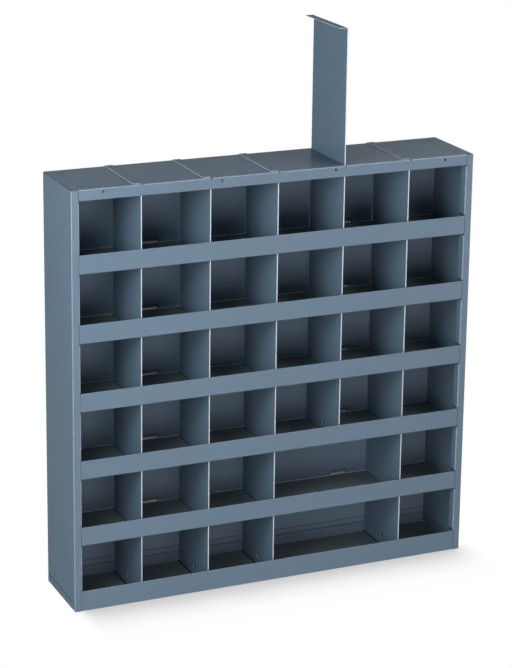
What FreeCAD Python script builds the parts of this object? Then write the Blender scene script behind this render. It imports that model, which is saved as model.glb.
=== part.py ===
import FreeCAD, Part
import os
import Sketcher

# Open-front pigeonhole bin unit of bent steel sheet, six rows by six columns.
# The pieces are drawn with the origin at the left, front, bottom corner of the
# casing, X to the right, Y to the rear and Z up, and are then moved so that the
# origin lies on the ground below the middle of the casing.

doc = FreeCAD.newDocument("pigeonhole_bin_unit")
sheet = doc.addObject("Spreadsheet::Sheet", "Sizes")


class Size:
    """A number that knows its value and how the spreadsheet writes it."""

    def __init__(self, value, text):
        self.value = value
        self.text = text

    def __add__(self, other):
        return Size(self.value + other.value, "(" + self.text + " + " + other.text + ")")

    def __sub__(self, other):
        return Size(self.value - other.value, "(" + self.text + " - " + other.text + ")")

    def __mul__(self, factor):
        return Size(self.value * factor, "(" + self.text + " * " + str(factor) + ")")

    def __truediv__(self, factor):
        return Size(self.value / factor, "(" + self.text + " / " + str(factor) + ")")


nothing = Size(0.0, "0")


def size(alias, value):
    """Write one driving dimension in the sheet and hand it back as a Size."""
    row = len(sheet.getUsedCells()) // 2 + 1
    sheet.set("A" + str(row), alias)
    sheet.set("B" + str(row), str(value))
    sheet.setAlias("B" + str(row), alias)
    return Size(float(value), "Sizes." + alias)


# Casing
width = size("overall_width", 858)
depth = size("overall_depth", 165)
height = size("overall_height", 857)
wall = size("sheet_thickness", 0.9)
inner_bend = size("inner_bend_radius", 0.9)
seam = size("seam_gap", 0.3)
head_room = size("extra_height_of_top_row", 27.8)
columns = 6
rows = 6

# Side panels
post = size("post_width", 16.5)
leg = size("post_return_depth", 19)
rear_flange = size("side_rear_flange", 16)
top_flange = size("side_top_flange", 38)
joggle_overlap = size("joggle_overlap", 2.5)

# Top panel
fascia = size("fascia_height", 22)
top_rear_flange = size("top_rear_flange", 16)
top_inset = size("top_end_inset", 0.6)
slot_drop = size("slot_cut_into_fascia", 3)
fascia_hole = size("fascia_hole_radius", 1.75)
fascia_hole_drop = size("fascia_hole_below_top", 7)
fascia_hole_side = size("fascia_hole_from_side", 64.5)
fascia_holes = 4
weld_radius = size("weld_mark_radius", 4.5)
weld_depth = size("weld_mark_depth", 0.3)
weld_in = size("weld_mark_from_side", 28)
weld_front = size("weld_mark_from_front", 25)
weld_rear = size("weld_mark_from_rear", 26)

# Base pan
base_lip = size("base_lip_height", 42)
base_rear_flange = size("base_rear_flange", 22)
base_side_flange = size("base_side_flange", 16)

# Shelves
lip = size("shelf_lip_height", 38)
end_flange = size("shelf_end_flange", 12)
tab_width = size("shelf_tab_width", 30)
tab_rise = size("shelf_tab_rise", 7.5)
tab_clearance = size("tab_clearance", 1.1)
tabs = 2
tab_middle_share = 0.25

# Dividers
divider_flange = size("divider_flange_width", 17.5)
divider_front = size("divider_set_back", 4)
divider_rear = size("divider_to_rear_face", 5)
flange_end = size("divider_flange_to_rear_face", 0.5)
hem = size("divider_hem_depth", 8)
hem_stop = size("divider_hem_below_top", 6)
divider_bend = size("divider_inner_bend_radius", 0.5)
slide = size("divider_slot_clearance", 0.45)
slot_end = size("divider_slot_end_clearance", 0.5)
floor_gap = size("divider_floor_gap", 0.3)
seat_gap = size("divider_seat_gap", 0.3)
hole_radius = size("divider_hole_radius", 6)
hole_rise = size("divider_hole_above_foot", 20)
hole_back = size("divider_hole_from_front", 73)
raised_short = size("raised_short_of_rows", 4)
raised_divider_number = 4
raised_rows = 2

# Levels and places shared by several pieces
bend = inner_bend + wall
column_pitch = width / columns
row_pitch = (height - head_room) / rows
under_top = height - wall
back_front = depth - wall * 2
pan_rear = depth - wall * 3
post_edge = post + seam
leg_edge = leg + seam
slot_half = wall + slide
slot_front = divider_front - slot_end
web_rear = depth - divider_rear
slot_rear = web_rear + slot_end
tab_middle = width * tab_middle_share
tab_spacing = width - tab_middle * 2
divider_height = height + seat_gap - floor_gap


def origin_feature(body, role):
    """One of the body's own origin planes or axes."""
    for feature in body.Origin.OriginFeatures:
        if feature.Role == role:
            return feature
    raise RuntimeError("no " + role)


def place(line, end, sketch, sideways, position):
    """Hold a point of the sketch at its place across or along the axis."""
    if position.value == 0:
        axis = -2 if sideways else -1
        sketch.addConstraint(Sketcher.Constraint("PointOnObject", line, end, axis))
        return
    kind = "DistanceX" if sideways else "DistanceY"
    number = sketch.addConstraint(Sketcher.Constraint(kind, -1, 1, line, end, position.value))
    sketch.setExpression("Constraints[" + str(number) + "]", position.text)


def new_sketch(body, name, plane, level):
    """An empty sketch on one of the origin planes, moved along its normal to the level."""
    sketch = body.newObject("Sketcher::SketchObject", name)
    sketch.AttachmentSupport = [(origin_feature(body, plane), "")]
    sketch.MapMode = "FlatFace"
    sign = "-" if plane == "XZ_Plane" else ""
    sketch.setExpression("AttachmentOffset.Base.z", sign + level.text)
    return sketch


def draw_outline(sketch, corners):
    """Closed outline of level and upright lines. A corner is (x, y) or (x, y, radius)."""
    count = len(corners)
    base = sketch.GeometryCount
    points = [FreeCAD.Vector(corner[0].value, corner[1].value, 0) for corner in corners]
    starts = []
    ends = []
    for index, corner in enumerate(corners):
        reach = corner[2].value if len(corner) > 2 else 0
        here = points[index]
        ends.append(here + (points[index - 1] - here).normalize() * reach)
        starts.append(here + (points[(index + 1) % count] - here).normalize() * reach)
    for index, corner in enumerate(corners):
        following = (index + 1) % count
        line = sketch.addGeometry(Part.LineSegment(starts[index], ends[following]))
        run = points[following] - points[index]
        level = abs(run.x) > abs(run.y)
        sketch.addConstraint(Sketcher.Constraint("Horizontal" if level else "Vertical", line))
        place(line, 1, sketch, not level, corner[1] if level else corner[0])
    for index, corner in enumerate(corners):
        incoming = base + (index - 1) % count
        if len(corner) > 2:
            round_corner(sketch, incoming, base + index, ends[index], starts[index], corner[2])
        else:
            sketch.addConstraint(Sketcher.Constraint("Coincident", incoming, 2, base + index, 1))


def round_corner(sketch, incoming, outgoing, first, last, radius):
    """Join two lines of an outline with a tangent arc."""
    here = sketch.Geometry[incoming].EndPoint - sketch.Geometry[incoming].StartPoint
    ahead = sketch.Geometry[outgoing].EndPoint - sketch.Geometry[outgoing].StartPoint
    turn = here.cross(ahead).z
    inward = FreeCAD.Vector(-here.y, here.x, 0).normalize()
    inward = inward if turn > 0 else inward * -1
    centre = first + inward * radius.value
    middle = centre + ((first + last) * 0.5 - centre).normalize() * radius.value
    arc = sketch.addGeometry(Part.Arc(first, middle, last))
    arc_start = 1 if turn > 0 else 2
    arc_end = 2 if turn > 0 else 1
    sketch.addConstraint(Sketcher.Constraint("Tangent", incoming, 2, arc, arc_start))
    sketch.addConstraint(Sketcher.Constraint("Tangent", arc, arc_end, outgoing, 1))
    number = sketch.addConstraint(Sketcher.Constraint("Radius", arc, radius.value))
    sketch.setExpression("Constraints[" + str(number) + "]", radius.text)


def draw_circle(sketch, x, y, radius):
    """One circle about a named place."""
    middle = FreeCAD.Vector(x.value, y.value, 0)
    circle = sketch.addGeometry(Part.Circle(middle, FreeCAD.Vector(0, 0, 1), radius.value))
    place(circle, 3, sketch, True, x)
    place(circle, 3, sketch, False, y)
    number = sketch.addConstraint(Sketcher.Constraint("Radius", circle, radius.value))
    sketch.setExpression("Constraints[" + str(number) + "]", radius.text)


def pad(body, name, plane, low, high, corners):
    """Sheet of the drawn outline from the low to the high level."""
    sketch = new_sketch(body, name + "_outline", plane, low)
    draw_outline(sketch, corners)
    return finish_pad(body, name, plane, sketch, high - low)


def finish_pad(body, name, plane, sketch, length):
    """Pad a drawn sketch towards the rear, the right or the top."""
    feature = body.newObject("PartDesign::Pad", name)
    feature.Profile = sketch
    feature.setExpression("Length", length.text)
    feature.Reversed = plane == "XZ_Plane"
    doc.recompute()
    return feature


def pocket(body, name, plane, low, high, draw):
    """Cut what draw(sketch) outlines, from the low to the high level."""
    before = body.Shape.Volume
    sketch = new_sketch(body, name + "_outline", plane, low)
    draw(sketch)
    feature = body.newObject("PartDesign::Pocket", name)
    feature.Profile = sketch
    feature.setExpression("Length", (high - low).text)
    feature.Reversed = plane != "XZ_Plane"
    doc.recompute()
    if body.Shape.Volume >= before:
        raise RuntimeError(body.Label + ": " + name + " cuts nothing")
    return feature


def repeat(body, name, feature, axis, length, count):
    """Repeat a feature along an origin axis."""
    pattern = body.newObject("PartDesign::LinearPattern", name)
    pattern.Originals = [feature]
    pattern.Direction = (origin_feature(body, axis), [""])
    pattern.setExpression("Length", length.text)
    pattern.Occurrences = count
    body.Tip = pattern
    doc.recompute()
    return pattern


def box(x_low, x_high, y_low, y_high):
    """Corners of a plain rectangle."""
    return [(x_low, y_low), (x_high, y_low), (x_high, y_high), (x_low, y_high)]


def new_body(label, x, y, z):
    """An empty piece whose drawing origin stands at the given place of the casing."""
    body = doc.addObject("PartDesign::Body", label)
    body.Label = label
    body.setExpression("Placement.Base.x", (x - width / 2).text)
    body.setExpression("Placement.Base.y", (y - depth / 2).text)
    body.setExpression("Placement.Base.z", z.text)
    return body


def side_panel(label, right):
    """Casing side: a C section with a return leg on its front flange."""
    body = new_body(label, nothing, nothing, nothing)

    def across(x):
        return width - x if right else x

    section = [(post, leg), (post, nothing, bend), (nothing, nothing, bend), (nothing, depth, bend)]
    section += [(rear_flange, depth), (rear_flange, depth - wall), (wall, depth - wall, inner_bend)]
    section += [(wall, wall, inner_bend), (post - wall, wall, inner_bend), (post - wall, leg)]
    pad(body, "skin", "XY_Plane", nothing, under_top, [(across(c[0]),) + c[1:] for c in section])

    # The top flange turns in below the top panel, between the post and the back.
    flange_front = leg_edge
    flange_rear = back_front - seam
    bend_foot = under_top - bend - seam

    def flange_room(sketch):
        draw_outline(sketch, box(across(nothing), across(wall), flange_front, flange_rear))

    pocket(body, "flange_room", "XY_Plane", bend_foot, under_top, flange_room)
    flange = [(nothing, bend_foot), (nothing, under_top, bend), (top_flange, under_top)]
    flange += [(top_flange, under_top - wall), (wall, under_top - wall, inner_bend), (wall, bend_foot)]
    corners = [(across(c[0]),) + c[1:] for c in flange]
    pad(body, "top_flange", "XZ_Plane", flange_front, flange_rear, corners)

    # The lower edge steps inwards by one sheet, behind the base pan's side flange.
    seam_level = base_side_flange + seam

    def lower_room(sketch):
        draw_outline(sketch, box(across(nothing), across(wall), bend, depth - bend))

    pocket(body, "lower_room", "XY_Plane", nothing, seam_level, lower_room)
    strip = box(across(wall), across(wall * 2), bend + seam, seam_level + joggle_overlap)
    pad(body, "lower_strip", "XZ_Plane", bend + seam, pan_rear - seam, strip)
    return body


def top_panel():
    """Top sheet with the fascia, the rear flange, the slots, holes and weld marks."""
    body = new_body("top_panel", nothing, nothing, nothing)
    section = [(nothing, height - fascia), (nothing, height, bend), (depth, height, bend)]
    section += [(depth, height - top_rear_flange), (depth - wall, height - top_rear_flange)]
    section += [(depth - wall, under_top, inner_bend), (wall, under_top, inner_bend), (wall, height - fascia)]
    pad(body, "top_sheet", "YZ_Plane", top_inset, width - top_inset, section)

    def corner_room(sketch):
        for low, high, start, end in (
            (nothing, post_edge, nothing, bend),
            (width - post_edge, width, nothing, bend),
            (nothing, rear_flange + seam, depth - bend, depth),
            (width - rear_flange - seam, width, depth - bend, depth),
        ):
            draw_outline(sketch, box(low, high, start, end))

    pocket(body, "corner_room", "XY_Plane", nothing, under_top, corner_room)

    def slot(sketch):
        middle = column_pitch
        draw_outline(sketch, box(middle - slot_half, middle + slot_half, nothing, slot_rear))

    first = pocket(body, "divider_slot", "XY_Plane", height - slot_drop, height, slot)
    repeat(body, "divider_slots", first, "X_Axis", column_pitch * (columns - 2), columns - 1)

    def hole(sketch):
        draw_circle(sketch, fascia_hole_side, height - fascia_hole_drop, fascia_hole)

    first = pocket(body, "fascia_hole", "XZ_Plane", nothing, wall, hole)
    repeat(body, "fascia_holes", first, "X_Axis", width - fascia_hole_side * 2, fascia_holes)

    def welds(sketch):
        for x in (weld_in, width - weld_in):
            for y in (weld_front, depth - weld_rear):
                draw_circle(sketch, x, y, weld_radius)

    pocket(body, "weld_marks", "XY_Plane", height - weld_depth, height, welds)
    return body


def back_panel():
    """Flat back inside the rear flanges, with two slots at each shelf."""
    body = new_body("back_panel", nothing, nothing, nothing)
    face = box(bend + seam, width - bend - seam, floor_gap, height - bend)
    pad(body, "back_sheet", "XZ_Plane", back_front, depth - wall, face)
    slot_side = tab_width / 2 + tab_clearance
    low = row_pitch - tab_clearance / 2
    high = row_pitch + wall + tab_rise + tab_clearance

    def slots(sketch):
        for middle in (tab_middle, tab_middle + tab_spacing):
            draw_outline(sketch, box(middle - slot_side, middle + slot_side, low, high))

    first = pocket(body, "tab_slot", "XZ_Plane", back_front, depth - wall, slots)
    repeat(body, "tab_slots", first, "Z_Axis", row_pitch * (rows - 2), rows - 1)
    return body


def base_pan():
    """Floor of the bottom row, with a front lip, a rear flange and side flanges."""
    body = new_body("base_pan", nothing, nothing, nothing)
    inner_end = wall * 2 + seam
    section = [(nothing, base_lip), (nothing, nothing, bend), (back_front, nothing, bend)]
    section += [(back_front, base_rear_flange), (pan_rear, base_rear_flange)]
    section += [(pan_rear, wall, inner_bend), (wall, wall, inner_bend), (wall, base_lip)]
    pad(body, "floor", "YZ_Plane", inner_end, width - inner_end, section)

    def post_room(sketch):
        draw_outline(sketch, box(nothing, post_edge, nothing, leg_edge))
        draw_outline(sketch, box(width - post_edge, width, nothing, leg_edge))

    pocket(body, "post_room", "XY_Plane", nothing, base_lip, post_room)
    wing_rear = pan_rear - bend
    for side, right in (("left", False), ("right", True)):

        def across(x):
            return width - x if right else x

        wing = [(nothing, base_side_flange), (nothing, nothing, bend), (inner_end + wall, nothing)]
        wing += [(inner_end + wall, wall), (wall, wall, inner_bend), (wall, base_side_flange)]
        corners = [(across(c[0]),) + c[1:] for c in wing]
        pad(body, side + "_wing", "XZ_Plane", leg_edge, wing_rear, corners)
        strip = box(across(nothing), across(wall), bend + seam, depth - bend - seam)
        pad(body, side + "_flange", "XY_Plane", bend, base_side_flange, strip)
    return body


def shelf(number):
    """Shelf with an upturned lip, slots for the dividers and two tabs behind."""
    level = row_pitch * (rows - number)
    body = new_body("shelf_" + str(number), nothing, nothing, level - end_flange)
    under = end_flange
    face = end_flange + wall
    shelf_rear = back_front - seam
    section = [(nothing, under + lip), (nothing, under, bend), (shelf_rear, under)]
    section += [(shelf_rear, face), (wall, face, inner_bend), (wall, under + lip)]
    pad(body, "floor", "YZ_Plane", wall, width - wall, section)

    def post_room(sketch):
        draw_outline(sketch, box(nothing, post_edge, nothing, leg_edge))
        draw_outline(sketch, box(width - post_edge, width, nothing, leg_edge))

    pocket(body, "post_room", "XY_Plane", nothing, under + lip, post_room)

    for side, low in (("left", wall), ("right", width - wall * 2)):
        strip = box(low, low + wall, leg_edge, shelf_rear - bend)
        pad(body, side + "_end_flange", "XY_Plane", nothing, under, strip)

    def slot(sketch):
        middle = column_pitch
        draw_outline(sketch, box(middle - slot_half, middle + slot_half, slot_front, slot_rear))

    first = pocket(body, "divider_slot", "XY_Plane", under, face, slot)
    repeat(body, "divider_slots", first, "X_Axis", column_pitch * (columns - 2), columns - 1)

    tab = [(shelf_rear - wall, under), (depth, under, bend), (depth, face + tab_rise)]
    tab += [(depth - wall, face + tab_rise), (depth - wall, face, inner_bend), (shelf_rear - wall, face)]
    tab_side = tab_middle - tab_width / 2
    first = pad(body, "rear_tab", "YZ_Plane", tab_side, tab_side + tab_width, tab)
    repeat(body, "rear_tabs", first, "X_Axis", tab_spacing, tabs)
    return body


def divider(number):
    """Sliding partition: a web with a hemmed front edge, hung from a top flange."""
    lift = row_pitch * raised_rows - raised_short if number == raised_divider_number else nothing
    x = column_pitch * number - divider_flange
    foot = wall + floor_gap + lift
    body = new_body("divider_" + str(number), x, divider_front, foot)
    web = divider_flange - wall
    web_depth = web_rear - divider_front
    flange_rear = depth - divider_front - flange_end
    top_bend = divider_bend + wall
    under_flange = divider_height - wall
    section = [(divider_flange, nothing), (divider_flange, divider_height, top_bend)]
    section += [(nothing, divider_height), (nothing, under_flange)]
    section += [(web, under_flange, divider_bend), (web, nothing)]
    pad(body, "web_and_flange", "XZ_Plane", wall, flange_rear, section)

    # Behind the web the flange runs on by itself, flat below.
    def rear_room(sketch):
        draw_outline(sketch, box(web - divider_bend, divider_flange, web_depth, flange_rear))

    pocket(body, "rear_room", "XY_Plane", nothing, under_flange, rear_room)

    # The front edge is folded flat against the right face, with a round nose.
    sketch = new_sketch(body, "hem_outline", "XY_Plane", nothing)
    leaf = divider_flange + wall
    draw_hem(sketch, web, divider_flange, leaf)
    finish_pad(body, "hem", "XY_Plane", sketch, divider_height - hem_stop)

    def hole(sketch):
        draw_circle(sketch, hole_back, hole_rise, hole_radius)

    pocket(body, "foot_hole", "YZ_Plane", web, divider_flange, hole)
    return body


def draw_hem(sketch, web, middle, leaf):
    """Half-round nose and the folded leaf, as one outline."""
    points = [(web, wall), (middle, wall), (middle, hem), (leaf, hem), (leaf, wall)]
    spots = [FreeCAD.Vector(p[0].value, p[1].value, 0) for p in points]
    for index in range(4):
        line = sketch.addGeometry(Part.LineSegment(spots[index], spots[index + 1]))
        level = index % 2 == 0
        sketch.addConstraint(Sketcher.Constraint("Horizontal" if level else "Vertical", line))
    nose = FreeCAD.Vector(middle.value, 0, 0)
    arc = sketch.addGeometry(Part.Arc(spots[0], nose, spots[4]))
    for index in range(3):
        sketch.addConstraint(Sketcher.Constraint("Coincident", index, 2, index + 1, 1))
    sketch.addConstraint(Sketcher.Constraint("Coincident", arc, 1, 0, 1))
    sketch.addConstraint(Sketcher.Constraint("Coincident", arc, 2, 3, 2))
    place(0, 1, sketch, True, web)
    place(0, 1, sketch, False, wall)
    place(1, 1, sketch, True, middle)
    place(2, 1, sketch, False, hem)
    place(3, 1, sketch, True, leaf)
    sketch.addConstraint(Sketcher.Constraint("PointOnObject", 3, 2, 0))
    sketch.addConstraint(Sketcher.Constraint("PointOnObject", arc, 3, 0))


pieces = [side_panel("left_side_panel", False), side_panel("right_side_panel", True)]
pieces += [top_panel(), back_panel(), base_pan()]
pieces += [shelf(number) for number in range(1, rows)]
pieces += [divider(number) for number in range(1, columns)]
doc.recompute()

for item in doc.Objects:
    if "Invalid" in item.State or "Error" in item.State:
        raise RuntimeError(item.Label + " has failed")

os.makedirs("parts", exist_ok=True)
for piece in pieces:
    solid = piece.Shape
    if solid.isNull() or not solid.isValid() or len(solid.Solids) != 1:
        raise RuntimeError(piece.Label + " is not one valid solid")
    solid.exportStep("parts/" + piece.Label + ".step")
    bounds = solid.BoundBox
    print(piece.Label, round(solid.Volume), bounds)
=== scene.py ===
import math
import bmesh
import bpy
import numpy as np
from mathutils import Matrix, Vector


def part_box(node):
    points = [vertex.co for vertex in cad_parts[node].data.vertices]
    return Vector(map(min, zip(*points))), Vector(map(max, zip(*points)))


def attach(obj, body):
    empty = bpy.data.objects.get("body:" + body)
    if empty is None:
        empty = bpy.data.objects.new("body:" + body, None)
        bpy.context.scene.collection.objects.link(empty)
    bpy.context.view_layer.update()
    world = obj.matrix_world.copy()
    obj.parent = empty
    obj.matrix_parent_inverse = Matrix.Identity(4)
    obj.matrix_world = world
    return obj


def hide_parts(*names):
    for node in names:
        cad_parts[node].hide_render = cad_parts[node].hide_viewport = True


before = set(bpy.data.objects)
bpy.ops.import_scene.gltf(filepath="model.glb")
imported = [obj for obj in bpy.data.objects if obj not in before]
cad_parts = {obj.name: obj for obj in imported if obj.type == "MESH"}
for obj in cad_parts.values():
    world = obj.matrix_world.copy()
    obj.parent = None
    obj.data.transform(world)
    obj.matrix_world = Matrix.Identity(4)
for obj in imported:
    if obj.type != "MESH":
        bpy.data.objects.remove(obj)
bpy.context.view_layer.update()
mm = 0.001
print("frame loaded")

# Sizes shared by the pieces, in millimetres. Places come from the frame's own boxes.
casing = {
    "sheet": 0.9,
    "innerBend": 0.9,
    "bendSteps": 6,
    "columns": 6,
    "seam": 0.3,  # open joint between two pieces
    "lipSeam": 0.9,  # open joint between a post and a lip
    "edgeRound": 0.4,  # paint rounds the cut edges of the sheet
    "edgeSegments": 2,
    "sharpTurn": 50,  # degrees, from which an edge is rounded
    "edgeHighlightBand": 1.3,  # beside a divider's cut edges the paint is thin too, a painted highlight
    "footShade": 3.2,  # painted shade lies on the floors along the foot of each divider
}
slack = 0.01  # mm, for rounding where a point is tried against a place
speck = 0.0001  # mm, points nearer than this are one


def corners(node):
    low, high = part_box(node)
    return [v / mm for v in low], [v / mm for v in high]


left, front, bottom = corners("left_side_panel")[0]
right, rear = corners("right_side_panel")[1][:2]
top = corners("top_panel")[1][2]
sheet = casing["sheet"]
half = sheet / 2
seam = casing["seam"]
bend = casing["innerBend"] + half  # radius of the sheet's middle in a bend
outerBend = casing["innerBend"] + sheet
columnPitch = (right - left) / casing["columns"]
dividerPlaces = left + columnPitch * np.arange(1, casing["columns"])
dividerNodes = ["divider_%d" % number for number in range(1, casing["columns"])]
shelfNodes = ["shelf_%d" % number for number in range(1, 6)]


# A fold line is straight runs joined by quarter bends, in the plane of two axes. A corner is
# (a, b, radius), and stopsA and stopsB are further places on the runs along each axis.
def foldLine(points, stopsA=(), stopsB=()):
    line = []
    for index, (a, b, radius) in enumerate(points):
        here = np.array((a, b), float)
        arc = here[None]
        if radius:
            back = np.array(points[index - 1][:2]) - here
            ahead = np.array(points[index + 1][:2]) - here
            back, ahead = back / np.abs(back).sum(), ahead / np.abs(ahead).sum()
            turn = np.linspace(0, math.pi / 2, casing["bendSteps"] + 1)[:, None]
            arc = here + radius * (back * (1 - np.sin(turn)) + ahead * (1 - np.cos(turn)))
        if line:
            start, end = line[-1][-1], arc[0]
            axis = int(abs(end - start)[1] > abs(end - start)[0])
            low, high = sorted((start[axis], end[axis]))
            stops = np.unique((stopsA, stopsB)[axis])
            stops = stops[(stops > low + speck) & (stops < high - speck)]
            run = np.repeat(start[None], len(stops), 0)
            run[:, axis] = stops if end[axis] > start[axis] else stops[::-1]
            line.append(run)
        line.append(arc)
    line = np.concatenate(line)
    step = np.linalg.norm(np.diff(line, axis=0), axis=1)
    return line[np.r_[True, step > speck]]


# Point (i, j) of a patch is place i along one axis and point j of the fold line on the other
# two. keep(x, y, z) says which cells are metal, and shape(grid) moves points after that.
def patch(along, fold, axes, keep=None, shape=None):
    along = np.unique(np.round(along, 4))
    grid = np.empty((len(along), len(fold), 3))
    grid[..., axes[0]] = along[:, None]
    grid[..., axes[1]] = fold[None, :, 0]
    grid[..., axes[2]] = fold[None, :, 1]
    middle = (grid[:-1, :-1] + grid[1:, :-1] + grid[1:, 1:] + grid[:-1, 1:]) / 4
    kept = np.ones(middle.shape[:2], bool)
    if keep is not None:
        kept = keep(*np.moveaxis(middle, -1, 0))
    if shape is not None:
        shape(grid)
    index = np.arange(grid.size // 3).reshape(grid.shape[:2])
    faces = np.stack((index[:-1, :-1], index[1:, :-1], index[1:, 1:], index[:-1, 1:]), -1)
    return grid.reshape(-1, 3), faces[kept]


# Places where a square block of cells is cut around a round hole. The inner ones fall on equal
# angles, and the block is half as wide again as the hole.
def holeStops(middle, radius, parts):
    ring = radius * np.tan(math.pi / 4 * np.arange(-parts, parts + 1) / parts)
    return np.r_[middle - radius * 1.5, middle + ring, middle + radius * 1.5]


# Moves the block's inner square of points in to the circle.
def roundHole(grid, axes, middle, radius):
    reach = grid[..., axes] - np.array(middle)
    square = np.abs(reach).max(-1)
    onRing = np.abs(square - radius) < slack
    reach[onRing] *= radius / np.linalg.norm(reach[onRing], axis=-1, keepdims=True)
    grid[..., axes] = np.where(onRing[..., None], reach + middle, grid[..., axes])


def inHole(a, b, middle, radius):
    return (np.abs(a - middle[0]) < radius) & (np.abs(b - middle[1]) < radius)


def isBetween(values, low, high):
    return (values > low) & (values < high)


# Turns all the cells of a sheet the same way, whatever way their patches ran.
def evenNormals(mesh):
    work = bmesh.new()
    work.from_mesh(mesh)
    bmesh.ops.recalc_face_normals(work, faces=work.faces)
    work.to_mesh(mesh)
    work.free()


# Joins patches into one sheet of metal: points at one place become one, then the sheet gets its
# thickness about its middle and rounded cut edges. finishAt(x, y, z) gives each cell the number
# of its finish, or else it is 0, and a cut edge takes the finish after that of its cell.
def sheetPiece(name, patches, body, node, finishes, mirrored=False, finishAt=None):
    points, faces, count = [], [], 0
    for grid, cells in patches:
        points.append(grid)
        faces.append(cells + count)
        count += len(grid)
    points = np.round(np.concatenate(points), 3)
    used, faces = np.unique(np.concatenate(faces), return_inverse=True)
    points, merged = np.unique(points[used], axis=0, return_inverse=True)
    faces = merged.reshape(-1)[faces.reshape(-1, 4)]
    if mirrored:
        points[:, 0] = left + right - points[:, 0]
        faces = faces[:, ::-1]
    mesh = bpy.data.meshes.new(name)
    mesh.from_pydata((points * mm).tolist(), [], faces.tolist())
    mesh.validate()
    mesh.polygons.foreach_set("use_smooth", np.ones(len(mesh.polygons), bool))
    if finishAt is not None:
        numbers = finishAt(*points[faces].mean(1).T)
        mesh.polygons.foreach_set("material_index", np.asarray(numbers, np.int32))
    piece = bpy.data.objects.new(name, mesh)
    bpy.context.scene.collection.objects.link(piece)
    evenNormals(mesh)
    for finish in finishes:
        mesh.materials.append(finish)
    thicken = piece.modifiers.new("sheet", "SOLIDIFY")
    thicken.thickness = sheet * mm
    thicken.offset = 0
    thicken.use_even_offset = True
    thicken.use_quality_normals = True
    thicken.material_offset_rim = 1
    rounding = piece.modifiers.new("edges", "BEVEL")
    rounding.width = casing["edgeRound"] * mm
    rounding.segments = casing["edgeSegments"]
    rounding.limit_method = "ANGLE"
    rounding.angle_limit = math.radians(casing["sharpTurn"])
    rounding.use_clamp_overlap = True
    normals = piece.modifiers.new("flats", "WEIGHTED_NORMAL")
    normals.mode = "FACE_AREA"
    normals.weight = 100
    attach(piece, body)
    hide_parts(node)
    return piece


def linear(hexColour):
    parts = [int(hexColour[i:i + 2], 16) / 255 for i in (1, 3, 5)]
    return [v / 12.92 if v <= 0.04045 else ((v + 0.055) / 1.055) ** 2.4 for v in parts] + [1.0]


# Adds one node with its settings and links. A key is an input's name or number, and a value is
# a constant or a socket.
def addNode(tree, kind, inputs=(), **settings):
    node = tree.nodes.new(kind)
    for key, value in settings.items():
        setattr(node, key, value)
    for key, value in dict(inputs).items():
        if isinstance(value, bpy.types.NodeSocket):
            tree.links.new(value, node.inputs[key])
        else:
            node.inputs[key].default_value = value
    return node


def newMaterial(name):
    material = bpy.data.materials.new(name)
    material.use_nodes = True
    material.node_tree.nodes.clear()
    return material, material.node_tree


# A noise's values lie mostly between these.
noiseSpan = {"From Min": 0.3, "From Max": 0.7}

enamel = {
    "colour": "#657c8e",
    "darker": "#607789",
    "cloud": 160,  # mm between deeper and lighter areas
    "roughness": 0.5,
    "glossDrift": 0.05,
    "ior": 1.5,
    "bodyShine": 0.02,
    "shine": 0.09,  # how much of the surface is a clear, sharp film
    "shineRoughness": 0.05,
    "peel": 2.6,  # mm between the ripples of the sprayed coat, drawn coarser than real to show
    "peelDepth": 0.008,  # mm
    "nib": "#8093a3",
    "nibSpacing": 34,  # mm
    "nibRadius": 0.5,  # mm
    "nibHeight": 6.0,  # in depths of the ripples
    "bareAndHighlight": "#cfdbe4",
    "bareRoughness": 0.5,
    "bareMetal": 0.25,
    "dust": "#7a7f73",
    "dustShare": 0.5,
}
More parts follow.
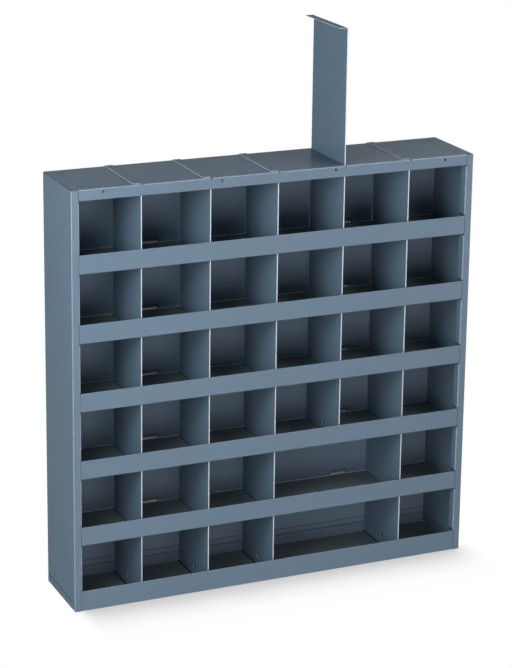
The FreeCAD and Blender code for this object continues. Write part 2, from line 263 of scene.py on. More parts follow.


# Baked alkyd enamel, sprayed on steel sheet: an even blue-grey with a soft gloss and a thin
# clear skin that mirrors what stands close to it, a faint orange peel, a slight drift in depth
# of colour from the gun's passes and here and there a nib of dust under the coat. The share of
# pale primed steel that shows, which on edges and bends is also a painted highlight, is given
# after the name, and the share of grey-brown dust that lies on the coat after that.
def bakedEnamel(name, bareAndHighlight=None, dust=0.0):
    material, tree = newMaterial(name)
    place = addNode(tree, "ShaderNodeTexCoord").outputs["Object"]
    cloud = addNode(tree, "ShaderNodeTexNoise", {
        "Vector": place, "Scale": 1 / (enamel["cloud"] * mm),
        "Detail": 3.0, "Roughness": 0.5}).outputs[0]
    tone = addNode(tree, "ShaderNodeMix", {
        0: cloud, 6: linear(enamel["darker"]), 7: linear(enamel["colour"])},
        data_type="RGBA").outputs[2]
    nibs = addNode(tree, "ShaderNodeTexVoronoi", {
        "Vector": place, "Scale": 1 / (enamel["nibSpacing"] * mm)}).outputs["Distance"]
    nib = addNode(tree, "ShaderNodeMapRange", {
        "Value": nibs, "From Min": 0.0, "From Max": enamel["nibRadius"] / enamel["nibSpacing"],
        "To Min": 1.0, "To Max": 0.0}).outputs[0]
    tone = addNode(tree, "ShaderNodeMix", {
        0: nib, 6: tone, 7: linear(enamel["nib"])}, data_type="RGBA").outputs[2]
    if dust:
        tone = addNode(tree, "ShaderNodeMix", {
            0: dust, 6: tone, 7: linear(enamel["dust"])}, data_type="RGBA").outputs[2]
    gloss = addNode(tree, "ShaderNodeMapRange", {
        "Value": cloud, **noiseSpan,
        "To Min": enamel["roughness"] - enamel["glossDrift"],
        "To Max": enamel["roughness"] + enamel["glossDrift"]}).outputs[0]
    peel = addNode(tree, "ShaderNodeTexNoise", {
        "Vector": place, "Scale": 1 / (enamel["peel"] * mm),
        "Detail": 1.0, "Roughness": 0.4}).outputs[0]
    height = addNode(tree, "ShaderNodeMath", {
        0: nib, 1: enamel["nibHeight"], 2: peel}, operation="MULTIPLY_ADD").outputs[0]
    ripple = addNode(tree, "ShaderNodeBump", {
        "Strength": 1.0, "Distance": enamel["peelDepth"] * mm, "Height": height}).outputs[0]
    finish = {"Base Color": tone, "Roughness": gloss, "Normal": ripple}
    if bareAndHighlight is not None:
        share = bareAndHighlight(tree, place)
        finish["Base Color"] = addNode(tree, "ShaderNodeMix", {
            0: share, 6: tone, 7: linear(enamel["bareAndHighlight"])}, data_type="RGBA").outputs[2]
        finish["Roughness"] = addNode(tree, "ShaderNodeMix", {
            0: share, 2: gloss, 3: enamel["bareRoughness"]}).outputs[0]
        finish["Metallic"] = addNode(tree, "ShaderNodeMath", {
            0: share, 1: enamel["bareMetal"]}, operation="MULTIPLY").outputs[0]
    shader = addNode(tree, "ShaderNodeBsdfPrincipled", {
        "IOR": enamel["ior"], "Specular IOR Level": enamel["bodyShine"],
        "Coat Weight": enamel["shine"], "Coat Roughness": enamel["shineRoughness"],
        "Coat IOR": enamel["ior"], **finish})
    addNode(tree, "ShaderNodeOutputMaterial", {"Surface": shader.outputs[0]})
    return material


# How much of the pale ground shows where the enamel is thin or rubbed, which on edges, bends
# and the hem's nose is also a painted highlight.
wearAndHighlight = {
    "grain": 5,  # mm between worn and whole patches
    "edgeSpan": {"From Min": 0.3, "From Max": 0.62},
    "onEdge": (0.35, 0.95),
    "onBend": (0.14, 0.34),
    "nose": 1.1,  # mm of the hem's front that hands and bins have rubbed bare, pale also as a painted highlight
    "noseFade": 0.3,  # mm
    "noseRag": 0.6,  # mm by which its border wanders
    "onNose": 0.9,
}
patchNoise = {"Scale": 1 / (wearAndHighlight["grain"] * mm), "Detail": 2.0, "Roughness": 0.6}


# Sprayed paint draws back from a cut edge, so most of the edge is left thin and pale, which
# is also a painted highlight along the edge.
def thinPaintAndHighlightOnEdge(tree, place):
    patches = addNode(tree, "ShaderNodeTexNoise", {"Vector": place, **patchNoise}).outputs[0]
    low, high = wearAndHighlight["onEdge"]
    return addNode(tree, "ShaderNodeMapRange", {
        "Value": patches, **wearAndHighlight["edgeSpan"], "To Min": low, "To Max": high}).outputs[0]


# The same on a lip's free edge alone, a painted highlight along its top: the edges of the
# slots and the rear edge keep their paint.
def thinPaintAndHighlightOnLip(tree, place):
    depth = addNode(tree, "ShaderNodeSeparateXYZ", {0: place}).outputs[1]
    onLip = addNode(tree, "ShaderNodeMath", {
        0: depth, 1: (front + outerBend) * mm}, operation="LESS_THAN").outputs[0]
    return addNode(tree, "ShaderNodeMath", {
        0: thinPaintAndHighlightOnEdge(tree, place), 1: onLip}, operation="MULTIPLY").outputs[0]


# The foremost millimetre of each divider's hem is rubbed bare, with a ragged border, and its
# pale colour is also a painted highlight along the nose.
def wearAndHighlightOnNose(tree, place):
    depth = addNode(tree, "ShaderNodeSeparateXYZ", {0: place}).outputs[1]
    patches = addNode(tree, "ShaderNodeTexNoise", {"Vector": place, **patchNoise}).outputs[0]
    border = addNode(tree, "ShaderNodeMath", {
        0: patches, 1: -wearAndHighlight["noseRag"] * mm, 2: depth}, operation="MULTIPLY_ADD").outputs[0]
    noseEnd = (corners(dividerNodes[0])[0][1] + wearAndHighlight["nose"]) * mm
    return addNode(tree, "ShaderNodeMapRange", {
        "Value": border, "From Min": noseEnd - wearAndHighlight["noseFade"] * mm, "From Max": noseEnd,
        "To Min": wearAndHighlight["onNose"], "To Max": 0.0}).outputs[0]


# Paint is thin where the sheet is bent, and hands and cartons rub it, so corners show paler
# than the flats; this paleness is also a painted highlight along the bends.
def thinPaintAndHighlightOnBend(tree, place):
    patches = addNode(tree, "ShaderNodeTexNoise", {"Vector": place, **patchNoise}).outputs[0]
    low, high = wearAndHighlight["onBend"]
    return addNode(tree, "ShaderNodeMapRange", {
        "Value": patches, **noiseSpan, "To Min": low, "To Max": high}).outputs[0]


paintedShadeTone = {
    "colour": "#1d2326",
    "share": 0.8,  # on the thinnest patches
    "shine": 0.1,
    "roughness": 0.9,
}


# Painted shade: a near-black colour without gloss, put in narrow gaps between sheets where shade
# falls.
def paintedShadeFinish(name):
    material, tree = newMaterial(name)
    place = addNode(tree, "ShaderNodeTexCoord").outputs["Object"]
    patches = addNode(tree, "ShaderNodeTexNoise", {"Vector": place, **patchNoise}).outputs[0]
    black = linear(paintedShadeTone["colour"])
    tone = addNode(tree, "ShaderNodeMix", {
        0: patches, 6: black, 7: linear(enamel["darker"])}, data_type="RGBA").outputs[2]
    tone = addNode(tree, "ShaderNodeMix", {
        0: paintedShadeTone["share"], 6: tone, 7: black}, data_type="RGBA").outputs[2]
    shader = addNode(tree, "ShaderNodeBsdfPrincipled", {
        "IOR": enamel["ior"], "Specular IOR Level": paintedShadeTone["shine"],
        "Roughness": paintedShadeTone["roughness"], "Base Color": tone})
    addNode(tree, "ShaderNodeOutputMaterial", {"Surface": shader.outputs[0]})
    return material


steel = {
    "colour": "#cdd1d3",
    "metal": 0.8,  # the rest is primer left in the pores
    "roughness": (0.36, 0.48),
}


# Steel sheet hammered and rubbed bare: grey metal with a soft, uneven shine. On the tabs' bends
# its pale colour is partly a painted highlight.
def rubbedSteel(name):
    material, tree = newMaterial(name)
    place = addNode(tree, "ShaderNodeTexCoord").outputs["Object"]
    patches = addNode(tree, "ShaderNodeTexNoise", {"Vector": place, **patchNoise}).outputs[0]
    low, high = steel["roughness"]
    gloss = addNode(tree, "ShaderNodeMapRange", {
        "Value": patches, **noiseSpan, "To Min": low, "To Max": high}).outputs[0]
    shader = addNode(tree, "ShaderNodeBsdfPrincipled", {
        "Base Color": linear(steel["colour"]), "Metallic": steel["metal"], "Roughness": gloss})
    addNode(tree, "ShaderNodeOutputMaterial", {"Surface": shader.outputs[0]})
    return material


sheetEnamel = bakedEnamel("bakedEnamelOnSteelSheet")
edgeEnamel = bakedEnamel("thinEnamelAndHighlightOnCutEdge", thinPaintAndHighlightOnEdge)
lipEnamel = bakedEnamel("thinEnamelAndHighlightOnLipEdge", thinPaintAndHighlightOnLip)
hemEnamel = bakedEnamel("bakedEnamelWornAndHighlitAtTheHem", wearAndHighlightOnNose)
bendEnamel = bakedEnamel("bakedEnamelThinAndHighlitOnBends", thinPaintAndHighlightOnBend)
dustyEnamel = bakedEnamel("bakedEnamelUnderDust", dust=enamel["dustShare"])
paintedShade = paintedShadeFinish("paintedShadeInAGap")
tabSteelAndHighlight = rubbedSteel("bareSteelAndHighlightOnTab")
print("finishes made")

cover = {
    "inset": 1.2,
    "fascia": 22.0,
    "rearFlange": 16.0,
    "slotHalf": 1.35,
    "slotEnd": 4.5,  # from the rear face
    "slotDrop": 3.0,  # the slots cut this far down the fascia
    "holes": 4,
    "holeDrop": 7.0,
    "holeIn": 64.5,
    "holeRadius": 2.4,
    "holeParts": 2,  # cells along each half side of a hole
    "weldIn": 28.0,
    "weldFront": 25.0,
    "weldRear": 26.0,
    "weldRadius": 7.0,
    "weldDepth": 1.1,
    "weldStep": 1.0,
    "weldSteps": 8,  # each way from a mark's middle
    "groove": (0.85, 0.17),  # a mark's groove, its place and width in radii
    "grooveShade": 0.09,  # the painted shade in it, as wide
    "pit": 0.45,  # the level inside the groove, in depths
    "rim": (1.15, 0.1),
    "rimRise": 0.3,
}

side = {
    "post": 16.5,
    "leg": 19.0,
    "rearFlange": 16.0,
    "seamLevel": 16.3,  # the lower edge steps inwards below this
    "joggle": 2.2,  # height of the step
    "joggleSteps": 4,
    "topGap": 0.3,
    "notchGap": 2.6,  # the leg is cut away this far below each lip, and painted near black as far above it, a painted shade
}

shelfSizes = {
    "endFlange": 12.0,
    "slotHalf": 1.7,
    "slotFront": 3.5,
    "slotRear": 4.5,  # from the rear face
    "kick": 1.1,  # the floor's rear edge is turned up so far
    "tabShare": 0.25,  # place of a tab's middle along the width
    "tabShift": 6.0,  # to the right of there
    "tabWidth": 34.0,
    "tabRise": 7.5,
    "tabBend": 1.6,
    "tabWorn": 2.2,  # above its bend a tab is bare so far, partly a painted highlight
    "tabCover": 2.6,  # a tab goes on up behind the back, so no light comes through its slot
    "tabEar": 2.2,  # and is wider there
    "tabEarDrop": 1.4,
}
tabPlaces = [left + (right - left) * share + shelfSizes["tabShift"]
             for share in (shelfSizes["tabShare"], 1 - shelfSizes["tabShare"])]
lipEdge = side["post"] - outerBend + casing["lipSeam"]  # a lip ends here, from the outer face
legEdge = front + side["leg"] + seam


# Casing side: one fold line seen from above, carried up, then a top flange folded from its web.
def makeSide(name, node, mirrored):
    underTop = top - sheet
    flangeRear = rear - 2 * sheet - seam
    stripFront, stripRear = front + outerBend + seam, rear - 3 * sheet - seam
    stepTop = side["seamLevel"] + side["joggle"]
    foot = outerBend + seam
    bendFoot = underTop - outerBend - side["topGap"]
    webStops = [stripFront, legEdge, stripRear, flangeRear]
    gap = side["notchGap"]
    fasciaFoot = top - cover["fascia"]
    notches = [(fasciaFoot, top)]
    for shelf in shelfNodes:
        low, high = corners(shelf)
        notches.append((low[2] + shelfSizes["endFlange"] - gap, high[2]))
    notches.append((bottom, corners("base_pan")[1][2]))
    shadedSpans = [(fasciaFoot - gap, fasciaFoot)]
    shadedSpans += [(lipTop, lipTop + gap) for _, lipTop in notches[1:]]
    section = foldLine([
        (left + side["post"] - half, front + side["leg"], 0),
        (left + side["post"] - half, front + half, bend),
        (left + half, front + half, bend),
        (left + half, rear - half, bend),
        (left + side["rearFlange"], rear - half, 0),
    ], stopsB=webStops)

    def isMetal(x, y, z):
        web = isBetween(y, front + outerBend - slack, rear - outerBend + slack) & (x < left + sheet)
        cutStrip = web & ((z < stepTop) & ((y < stripFront) | (y > stripRear)) | (z < foot))
        cutTop = web & (z > bendFoot) & isBetween(y, legEdge, flangeRear)
        leg = (x > left + side["post"] - outerBend) & (y < legEdge)
        cutLeg = np.zeros(x.shape, bool)
        for low, high in notches:
            cutLeg |= leg & isBetween(z, low, high)
        return ~(cutStrip | cutTop | cutLeg)

    # The step inwards is an even S from one level to the other.
    def joggle(grid):
        x, y, z = np.moveaxis(grid, -1, 0)
        down = np.clip((stepTop - z) / side["joggle"], 0, 1)
        strip = isBetween(y, stripFront - slack, stripRear + slack) & (x < left + sheet)
        grid[..., 0] += np.where(strip, sheet * down * down * (3 - 2 * down), 0)

    steps = np.linspace(side["seamLevel"], stepTop, side["joggleSteps"] + 1)
    ends = np.array(notches + shadedSpans).ravel()
    levels = np.r_[bottom, foot, steps, bendFoot, underTop, ends[ends < underTop]]
    skin = patch(levels, section, (2, 0, 1), isMetal, joggle)
    hood = foldLine([
        (left + half, bendFoot, 0),
        (left + half, underTop - half, bend),
        (corners("left_side_panel")[1][0], underTop - half, 0),
    ])
    inRange = [v for v in webStops if legEdge - slack < v < flangeRear + slack]
    flange = patch(inRange, hood, (1, 0, 2))

    # The step is a seam with the base pan's wing. It is painted near black as painted shade,
    # as the bands beside the notches are.
    def finishAt(x, y, z):
        inward = np.minimum(x - left, right - x)
        onLeg = isBetween(inward, side["post"] - outerBend, side["post"])
        atBend = (inward < outerBend) | onLeg
        atBend &= (y < front + outerBend) | (y > rear - outerBend)
        shadeCells = (inward < sheet) & isBetween(y, stripFront, stripRear)
        shadeCells &= isBetween(z, side["seamLevel"], stepTop)
        for low, high in shadedSpans:
            shadeCells |= onLeg & (y < legEdge) & isBetween(z, low, high)
        return np.where(shadeCells, 3, 2 * atBend)

    sheetPiece(name, [skin, flange], "cabinet", node,
               [sheetEnamel, sheetEnamel, bendEnamel, paintedShade], mirrored, finishAt)


makeSide("leftSide", "left_side_panel", False)
makeSide("rightSide", "right_side_panel", True)
print("sides made")


# Top: fascia, top sheet and rear flange on one fold line, with slots for the dividers. A weld
# mark is a ring groove with a raised rim, each a bell curve of the distance from its middle.
def makeTop():
    level = top - half
    flangeEdge = side["rearFlange"] + seam
    holeX = np.linspace(left + cover["holeIn"], right - cover["holeIn"], cover["holes"])
    holeZ = top - cover["holeDrop"]
    holeRadius = cover["holeRadius"]
    weldX = (left + cover["weldIn"], right - cover["weldIn"])
    weldY = (front + cover["weldFront"], rear - cover["weldRear"])
    around = np.arange(-cover["weldSteps"], cover["weldSteps"] + 1) * cover["weldStep"]
    groove, grooveWidth = cover["groove"]
    rim, rimWidth = cover["rim"]
    slotFoot, slotRear = top - cover["slotDrop"], rear - cover["slotEnd"]
    stopsX = [left + cover["inset"], left + flangeEdge, left + lipEdge]
    stopsX += [right - cover["inset"], right - flangeEdge, right - lipEdge]
    for place in dividerPlaces:
        stopsX += [place - cover["slotHalf"], place + cover["slotHalf"]]
    for place in holeX:
        stopsX += list(holeStops(place, holeRadius, cover["holeParts"]))
    for place in weldX:
        stopsX += list(place + around)
    stopsY = list(np.concatenate([place + around for place in weldY])) + [slotRear]
    stopsZ = [slotFoot, *holeStops(holeZ, holeRadius, cover["holeParts"])]
    section = foldLine([
        (front + half, top - cover["fascia"], 0),
        (front + half, level, bend),
        (rear - half, level, bend),
        (rear - half, top - cover["rearFlange"], 0),
    ], stopsY, stopsZ)
    flatFront, flatRear = front + half + bend, rear - half - bend

    def isMetal(x, y, z):
        metal = ~((y < flatFront) & ~isBetween(x, left + lipEdge, right - lipEdge))
        metal &= ~((y > flatRear) & ~isBetween(x, left + flangeEdge, right - flangeEdge))
        for place in dividerPlaces:
            metal &= ~((np.abs(x - place) < cover["slotHalf"]) & (y < slotRear) & (z > slotFoot))
        for place in holeX:
            metal &= ~((y < front + sheet) & inHole(x, z, (place, holeZ), holeRadius))
        return metal

    def weldsAndHoles(grid):
        x, y, z = np.moveaxis(grid, -1, 0)
        flat = z > level - speck
        for placeX in weldX:
            for placeY in weldY:
                away = np.hypot(x - placeX, y - placeY) / cover["weldRadius"]
                sunk = np.exp(-((away - groove) / grooveWidth) ** 2)
                sunk += cover["pit"] * (away < groove)
                risen = cover["rimRise"] * np.exp(-((away - rim) / rimWidth) ** 2)
                grid[..., 2] += np.where(flat, cover["weldDepth"] * (risen - sunk), 0)
        onFascia = y < front + sheet
        for place in holeX:
            block = grid[:, onFascia[0]]
            roundHole(block, [0, 2], (place, holeZ), holeRadius)
            grid[:, onFascia[0]] = block

    sheetTop = patch(stopsX, section, (0, 1, 2), isMetal, weldsAndHoles)
    strips = []
    for low, high, start, end in (
        (left + cover["inset"], left + lipEdge, front + half, flatFront),
        (right - lipEdge, right - cover["inset"], front + half, flatFront),
        (left + cover["inset"], left + flangeEdge, flatRear, rear - half),
        (right - flangeEdge, right - cover["inset"], flatRear, rear - half),
    ):
        inRange = [v for v in stopsX if low - slack < v < high + slack]
        strips.append(patch(inRange, foldLine([(start, level, 0), (end, level, 0)]), (0, 1, 2)))

    # The joints with the sides, the cut ends of the bends, the holes' edges and the grooves of
    # the weld marks are painted near black as painted shade.
    def finishAt(x, y, z):
        atBend = (z > top - outerBend) & ((y < front + outerBend) | (y > rear - outerBend))
        atEnd = ~isBetween(x, left + flangeEdge, right - flangeEdge)
        besideHole = (y < front + sheet) & (z > top - cover["holeDrop"] - 2 * holeRadius)
        away = np.hypot(np.subtract.outer(x, weldX)[..., None],
                        np.subtract.outer(y, weldY)[..., None, :]) / cover["weldRadius"]
        shadeCells = (np.abs(away - groove) < cover["grooveShade"]).any((-2, -1))
        shadeCells &= z > top - sheet - cover["weldDepth"]
        return np.where(atBend, 2, np.where(shadeCells, 3, 4 * (atEnd | besideHole)))

    sheetPiece("topSheet", [sheetTop, *strips], "cabinet", "top_panel",
               [sheetEnamel, sheetEnamel, bendEnamel, paintedShade, sheetEnamel, paintedShade],
               finishAt=finishAt)


makeTop()
print("top made")

backSizes = {
    "slotRoom": 0.9,  # at each end of a tab
    "slotGap": 1.6,  # above a tab, and half as much below it
    "darkLine": (33.0, 34.0),  # from the floor
}


# Back: a flat sheet with two slots at each shelf for the shelf's tabs.
def makeBack():
    low, high = corners("back_panel")
    slotHalf = shelfSizes["tabWidth"] / 2 + backSizes["slotRoom"]
    levels = [corners(node)[0][2] + shelfSizes["endFlange"] for node in shelfNodes]
    gap = backSizes["slotGap"]
    spans = [(v - gap / 2, v + sheet + shelfSizes["tabRise"] + gap) for v in levels]
    stopsX = [low[0], high[0]]
    for place in tabPlaces:
        stopsX += [place - slotHalf, place + slotHalf]
    stopsZ = [v for span in spans for v in span] + list(backSizes["darkLine"])
    middle = (low[1] + high[1]) / 2
    upright = foldLine([(middle, low[2], 0), (middle, high[2], 0)], stopsB=stopsZ)

    def isMetal(x, y, z):
        metal = np.ones(x.shape, bool)
        for place in tabPlaces:
            for span in spans:
                metal &= ~((np.abs(x - place) < slotHalf) & isBetween(z, *span))
        return metal

    # A near-black line is painted across the back sheet just above the base pan's rear flange.
    def finishAt(x, y, z):
        return 1 * isBetween(z, *backSizes["darkLine"])

    sheetPiece("backSheet", [patch(stopsX, upright, (0, 1, 2), isMetal)], "cabinet",
               "back_panel", [sheetEnamel, paintedShade], finishAt=finishAt)


makeBack()

pan = {
    "sideFlange": 16.0,
    "rearFlange": 22.0,
    "flangeShade": 1.2,  # painted shade lies along the rear flange's upper edge
}


# Base pan: lip, floor and rear flange on one fold line, and a side flange folded up at each end.
def makePan():
    lipTop = corners("base_pan")[1][2]
    flangeTop = bottom + pan["rearFlange"]
    shadeFoot = flangeTop - pan["flangeShade"]
    panRear = rear - 2.5 * sheet  # ahead of the side's rear flange and the back
    wingRear = rear - 3 * sheet - outerBend
    floorEnd = 3 * sheet + seam
    rearEnd = 2 * sheet + seam
    section = foldLine([
        (front + half, lipTop, 0),
        (front + half, bottom + half, bend),
        (panRear, bottom + half, bend),
        (panRear, flangeTop, 0),
    ], [legEdge, wingRear], [shadeFoot])
    stopsX = [left + rearEnd, left + floorEnd, left + lipEdge]
    stopsX += [right - rearEnd, right - floorEnd, right - lipEdge]
    feet = [place - sheet for place, node in zip(dividerPlaces, dividerNodes)
            if corners(node)[0][2] < lipTop]
    for foot in feet:
        stopsX += [foot - casing["footShade"], foot]

    def isMetal(x, y, z):
        corner = (y < front + outerBend) & ~isBetween(x, left + lipEdge, right - lipEdge)
        wing = (y < wingRear) & ~isBetween(x, left + floorEnd, right - floorEnd)
        return ~(corner | wing)

    def isWing(x, y, z):
        return (z > bottom + half + bend) | isBetween(y, legEdge, wingRear)

    patches = [patch(stopsX, section, (0, 1, 2), isMetal)]
    alongWing = [front + outerBend + seam, legEdge, wingRear, rear - outerBend - seam]
    for edge, inward in ((left, 1), (right, -1)):
        wing = foldLine([
            (edge + inward * half, bottom + pan["sideFlange"], 0),
            (edge + inward * half, bottom + half, bend),
            (edge + inward * floorEnd, bottom + half, 0),
        ])
        patches.append(patch(alongWing, wing, (1, 0, 2), isWing))

    # The floor is dusty, and painted shade lies on the rear flange's edge and at the dividers'
    # feet. The rear bend is paler, partly a painted highlight.
    def finishAt(x, y, z):
        atBack = y > panRear - bend
        shadeCells = atBack & isBetween(z, shadeFoot, flangeTop)
        for foot in feet:
            shadeCells |= isBetween(x, foot - casing["footShade"], foot) & (z < bottom + sheet) & ~atBack
        onFloor = (z < bottom + sheet) & isBetween(y, front + outerBend, panRear - bend)
        atBend = atBack & isBetween(z, bottom + half, bottom + half + bend)
        return np.where(shadeCells, 3, 2 * atBend + 4 * onFloor)

    sheetPiece("basePan", patches, "cabinet", "base_pan",
               [sheetEnamel, lipEnamel, bendEnamel, paintedShade, dustyEnamel], finishAt=finishAt)


makePan()


# Shelf: lip, floor and a small kick at the rear on one fold line, an end flange down at each
# side, and two tabs up behind the back.
def makeShelf(name, node):
    low, high = corners(node)
    level = low[2] + shelfSizes["endFlange"] + half
    shelfRear = rear - 2 * sheet - seam
    flangeRear = shelfRear - outerBend
    kickPlace = shelfRear - half
    slotFront, slotRear = front + shelfSizes["slotFront"], rear - shelfSizes["slotRear"]
    tabHalf = shelfSizes["tabWidth"] / 2
    tabTop = level + half + shelfSizes["tabRise"]
    tabEnd = tabTop + shelfSizes["tabCover"]
    wornTop = level + shelfSizes["tabBend"] + shelfSizes["tabWorn"]
    bendEnd = half + bend
    slotEdges = dividerPlaces - shelfSizes["slotHalf"]
    stopsX = [low[0], low[0] + bendEnd, left + lipEdge]
    stopsX += [high[0], high[0] - bendEnd, right - lipEdge]
    for edge in slotEdges:
        stopsX += [edge - casing["footShade"] / 2, edge, edge + 2 * shelfSizes["slotHalf"]]
    for place in tabPlaces:
        stopsX += [place - tabHalf, place + tabHalf]
    section = foldLine([
        (front + half, high[2], 0),
        (front + half, level, bend),
        (kickPlace, level, bend),
        (kickPlace, level + half + shelfSizes["kick"], 0),
    ], [slotFront, legEdge, slotRear, flangeRear])

    def onTab(x):
        return np.abs(np.subtract.outer(x, tabPlaces)).min(-1) < tabHalf

    def isMetal(x, y, z):
        metal = ~((y < legEdge) & ~isBetween(x, left + lipEdge, right - lipEdge))
        metal &= ~((y < flangeRear) & ~isBetween(x, low[0] + bendEnd, high[0] - bendEnd))
        metal &= ~((y > flangeRear) & onTab(x))
        for place in dividerPlaces:
            inSlot = np.abs(x - place) < shelfSizes["slotHalf"]
            metal &= ~(inSlot & isBetween(y, slotFront, slotRear))
        return metal

    patches = [patch(stopsX, section, (0, 1, 2), isMetal)]
    for edge, inward in ((low[0], 1), (high[0], -1)):
        hang = foldLine([
            (edge + inward * half, low[2], 0),
            (edge + inward * half, level, bend),
            (edge + inward * bendEnd, level, 0),
        ])
        patches.append(patch([legEdge, slotRear, flangeRear], hang, (1, 0, 2)))
    tab = foldLine([
        (flangeRear, level, 0),
        (rear - half, level, shelfSizes["tabBend"]),
        (rear - half, tabEnd, 0),
    ], stopsB=[wornTop, tabTop])
    ear = foldLine([
        (rear - half, level - shelfSizes["tabEarDrop"], 0),
        (rear - half, tabEnd, 0),
    ], stopsB=[level + shelfSizes["tabBend"], wornTop, tabTop])
    for place in tabPlaces:
        ends = [place - tabHalf, place + tabHalf]
        patches.append(patch(ends, tab, (0, 1, 2)))
        for end, outward in zip(ends, (-1, 1)):
            patches.append(patch([end, end + outward * shelfSizes["tabEar"]], ear, (0, 1, 2)))

    # The paint has come off the bends of the tabs, which were hammered up behind the back; their
    # pale steel is partly a painted highlight. The turned-up rear edge is pale as a painted
    # highlight. The slots are painted near black as painted shade, and dust lies on the floor.
    def finishAt(x, y, z):
        behind = y > shelfRear
        bareAndHighlight = behind & onTab(x) & isBetween(z, level + slack, wornTop)
        shadeCells = behind & (~onTab(x) | (z > tabTop))
        kicked = (y > flangeRear) & ~behind & (z > level + slack)
        onFloor = isBetween(y, front + outerBend, flangeRear) & (np.abs(z - level) < slack)
        for edge in slotEdges:
            inBand = isBetween(x, edge - casing["footShade"] / 2, edge)
            shadeCells |= inBand & isBetween(y, slotFront, flangeRear)
        return np.where(shadeCells, 4, 5 * bareAndHighlight + 2 * kicked + 3 * onFloor)

    sheetPiece(name, patches, "cabinet", node,
               [sheetEnamel, lipEnamel, edgeEnamel, dustyEnamel, paintedShade, tabSteelAndHighlight],
               finishAt=finishAt)


for number, node in enumerate(shelfNodes, 1):
    makeShelf("shelf%d" % number, node)
print("back, base and shelves made")

dividerSizes = {
    "innerBend": 0.5,
    "rearGap": 5.0,
    "tailShort": 0.15,  # the flange's rear end stops this far inside the web's far face
    "hemDepth": 8.0,
    "hemGap": 0.04,
    "hemBelowTop": 6.0,
    "holeRadius": 6.0,
    "holeParts": 3,
    "holeRise": 20.0,
    "holeBack": 73.0,
    "footBand": 6.0,  # behind a lip the hem keeps its paint and has no painted highlight
}


# Divider: flange and web on one fold line, and a hem carried up its front edge.
def makeDivider(name, node, place):
    low, high = corners(node)
    web = place - half
    flangeLevel = high[2] - half
    bendRadius = dividerSizes["innerBend"] + half
    noseRadius = half + dividerSizes["hemGap"]
    noseMiddle = low[1] + sheet + dividerSizes["hemGap"]
    webRear = rear - dividerSizes["rearGap"]
    hemTop = high[2] - dividerSizes["hemBelowTop"]
    footTop = low[2] + dividerSizes["footBand"]
    frontBand = noseMiddle + casing["edgeHighlightBand"]
    leftBand = low[0] + casing["edgeHighlightBand"]
    hole = (low[1] + dividerSizes["holeBack"], low[2] + dividerSizes["holeRise"])
    radius, parts = dividerSizes["holeRadius"], dividerSizes["holeParts"]
    stopsZ = [footTop, hemTop, *holeStops(hole[1], radius, parts)]
    stopsY = [noseMiddle, frontBand, webRear, high[1], *holeStops(hole[0], radius, parts)]
    section = foldLine([
        (low[0], flangeLevel, 0),
        (web, flangeLevel, bendRadius),
        (web, low[2], 0),
    ], [leftBand], stopsZ)

    def isMetal(x, y, z):
        behind = (y > webRear) & ((x > web - bendRadius) | (z < flangeLevel - slack))
        return ~behind & ~((x > web - slack) & inHole(y, z, hole, radius))

    def footHole(grid):
        onWeb = grid[0, :, 0] > web - speck
        block = grid[:, onWeb]
        roundHole(block, [1, 2], hole, radius)
        grid[:, onWeb] = block

    tail = foldLine([
        (web - bendRadius, flangeLevel, 0),
        (place - dividerSizes["tailShort"], flangeLevel, 0),
    ])
    hem = foldLine([
        (web, noseMiddle, 0),
        (web, noseMiddle - noseRadius, noseRadius),
        (web + 2 * noseRadius, noseMiddle - noseRadius, noseRadius),
        (web + 2 * noseRadius, low[1] + dividerSizes["hemDepth"], 0),
    ])
    hemLevels = [v for v in stopsZ if v < hemTop + slack] + [low[2]]
    patches = [
        patch(stopsY, section, (1, 0, 2), isMetal, footHole),
        patch([webRear, high[1]], tail, (1, 0, 2)),
        patch(hemLevels, hem, (2, 0, 1)),
    ]

    # The flange's left and front borders are pale as its cut edges are, a painted highlight.
    def finishAt(x, y, z):
        border = (z > flangeLevel - slack) & ((x < leftBand) | (y < frontBand))
        return 1 * border + 3 * (z < footTop)

    sheetPiece(name, patches, node, node,
               [hemEnamel, edgeEnamel, edgeEnamel, sheetEnamel], finishAt=finishAt)


for number, (node, place) in enumerate(zip(dividerNodes, dividerPlaces), 1):
    makeDivider("divider%d" % number, node, float(place))
print("dividers made")

studio = {
    "cameraPlace": (-1.7797, -4.0101, 1.9037),
    "yaw": 23.783,
    "pitch": -15.380,
    "roll": 0.707,
    "focalPixels": 2280.6,
    "longSide": 668,  # the photograph's height in pixels
    "shift": -0.14,
    "world": 0.075,
    "worldTint": "#cde3f6",
    "seen": "#ffffff",  # the background that the camera and mirrors see
    "floorPaint": "#ececec",
    "floorReach": 12.0,
    "shadowReach": 0.18,
    "shadowDepth": 0.82,
    "shadowSamples": 16,
    "shadowLeft": (-0.005, 0.035),  # the shadow sets in so far from the left face
    "shadowRight": (-0.01, 0.045),  # and ends so far beyond the right face
    "shadowFront": (0.0, 0.02),  # and beyond the front
}

# Each lamp's place, the point it is turned to, its width and height, its power and its colour.
plain, warm = "#ffffff", "#ffece7"
lamps = {
    "keyLight": ((-3.4, -3.2, 1.3), (0, 0, 0.45), (2.0, 0.8), 31, plain),
    "leftLight": ((-1.5, -1.0, 1.0), (0, 0, 0.6), (0.8, 0.5), 5, plain),
    "nearLight": ((-1.1, -0.9, 1.3), (-0.2, 0, 0.7), (0.6, 0.4), 6.5, plain),
    "sideLight": ((-1.5, -0.6, 1.5), (-0.2, 0, 0.6), (0.6, 0.4), 4.5, plain),
    "levelLight": ((-0.4, -1.3, 1.05), (0, 0, 0.7), (1.2, 0.4), 0.9, warm),
    "frontFill": ((-0.2, -2.2, 0.5), (0, 0, 0.45), (1.2, 0.8), 19.5, warm),
    "rightLight": ((0.9, -0.8, 1.35), (0.1, 0, 0.8), (1.0, 0.4), 9, warm),
}


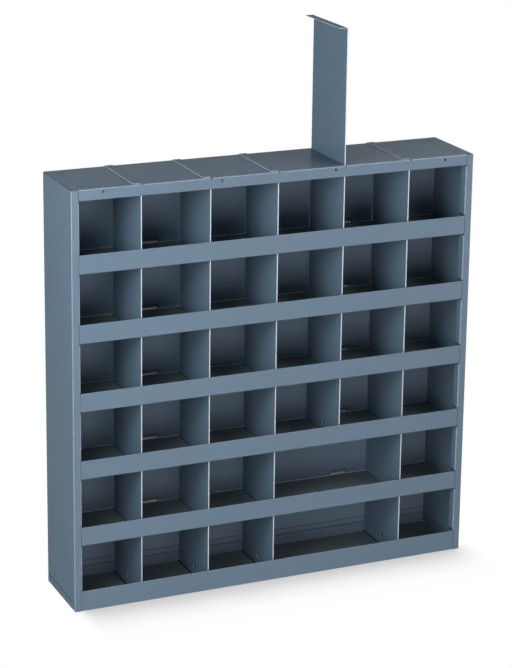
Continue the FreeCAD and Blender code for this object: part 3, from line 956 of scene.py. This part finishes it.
def makeCamera():
    data = bpy.data.cameras.new("camera")
    camera = bpy.data.objects.new("camera", data)
    bpy.context.scene.collection.objects.link(camera)
    yaw, pitch, roll = (math.radians(studio[key]) for key in ("yaw", "pitch", "roll"))
    turn = Matrix.Rotation(-yaw, 4, "Z") @ Matrix.Rotation(math.pi / 2 + pitch, 4, "X")
    turn = turn @ Matrix.Rotation(roll, 4, "Z")
    camera.matrix_world = Matrix.Translation(studio["cameraPlace"]) @ turn
    data.lens = studio["focalPixels"] / studio["longSide"] * data.sensor_width
    data.shift_y = studio["shift"]
    bpy.context.scene.camera = camera


# 1 for what the camera, a mirror or glass sees, and 0 for what lights the object.
def seenRays(tree):
    ray = addNode(tree, "ShaderNodeLightPath").outputs
    seen = ray["Is Camera Ray"]
    for kind in ("Is Glossy Ray", "Is Transmission Ray"):
        seen = addNode(tree, "ShaderNodeMath", {
            0: seen, 1: ray[kind]}, operation="MAXIMUM").outputs[0]
    return seen


def makeWorld():
    world = bpy.data.worlds.new("studio")
    bpy.context.scene.world = world
    world.use_nodes = True
    tree = world.node_tree
    tree.nodes.clear()
    seen = seenRays(tree)
    strength = addNode(tree, "ShaderNodeMapRange", {
        "Value": seen, "To Min": studio["world"], "To Max": 1.0}).outputs[0]
    tint = addNode(tree, "ShaderNodeMix", {
        0: seen, 6: linear(studio["worldTint"]), 7: linear(studio["seen"])},
        data_type="RGBA").outputs[2]
    glow = addNode(tree, "ShaderNodeBackground", {"Color": tint, "Strength": strength})
    addNode(tree, "ShaderNodeOutputWorld", {"Surface": glow.outputs[0]})


def addLamp(name, place, target, size, watts, colour):
    data = bpy.data.lights.new(name, "AREA")
    data.shape = "RECTANGLE"
    data.size, data.size_y = size
    data.energy = watts
    data.color = linear(colour)[:3]
    lamp = bpy.data.objects.new(name, data)
    bpy.context.scene.collection.objects.link(lamp)
    turn = (Vector(place) - Vector(target)).to_track_quat("Z", "Y").to_matrix().to_4x4()
    lamp.matrix_world = Matrix.Translation(place) @ turn


# The floor lies under the object. It lights the object as pale paint. The camera and mirrors
# see it white, with a painted soft shadow where the object closes off the world around it.
# This painted shadow is kept only on the floor ahead of the object, within the given borders.
def makeFloor():
    reach = studio["floorReach"]
    mesh = bpy.data.meshes.new("floor")
    ends = [(-reach, -reach, 0), (reach, -reach, 0), (reach, reach, 0), (-reach, reach, 0)]
    mesh.from_pydata(ends, [], [(0, 1, 2, 3)])
    floor = bpy.data.objects.new("floor", mesh)
    bpy.context.scene.collection.objects.link(floor)
    material, tree = newMaterial("paleStudioFloor")
    openness = addNode(tree, "ShaderNodeAmbientOcclusion", {
        "Distance": studio["shadowReach"]}, samples=studio["shadowSamples"]).outputs["AO"]
    shade = addNode(tree, "ShaderNodeMapRange", {
        "Value": openness, "To Min": studio["shadowDepth"], "To Max": 0.0}).outputs[0]
    place = addNode(tree, "ShaderNodeTexCoord").outputs["Object"]
    place = addNode(tree, "ShaderNodeSeparateXYZ", {0: place}).outputs
    for axis, face, key, start, end in (
        (0, left, "shadowLeft", 0.0, 1.0),
        (0, right, "shadowRight", 1.0, 0.0),
        (1, front, "shadowFront", 1.0, 0.0),
    ):
        low, high = (face * mm + v for v in studio[key])
        border = addNode(tree, "ShaderNodeMapRange", {
            "Value": place[axis], "From Min": low, "From Max": high,
            "To Min": start, "To Max": end}, interpolation_type="SMOOTHSTEP").outputs[0]
        shade = addNode(tree, "ShaderNodeMath", {
            0: shade, 1: border}, operation="MULTIPLY").outputs[0]
    light = addNode(tree, "ShaderNodeMath", {0: 1.0, 1: shade}, operation="SUBTRACT").outputs[0]
    paint = addNode(tree, "ShaderNodeBsdfDiffuse", {"Color": linear(studio["floorPaint"])})
    glow = addNode(tree, "ShaderNodeEmission", {
        "Color": linear(studio["seen"]), "Strength": light})
    both = addNode(tree, "ShaderNodeMixShader", {
        0: seenRays(tree), 1: paint.outputs[0], 2: glow.outputs[0]})
    addNode(tree, "ShaderNodeOutputMaterial", {"Surface": both.outputs[0]})
    mesh.materials.append(material)


makeCamera()
makeWorld()
makeFloor()
for name, lamp in lamps.items():
    addLamp(name, *lamp)
bpy.context.scene.view_settings.view_transform = "Standard"
print("studio made")
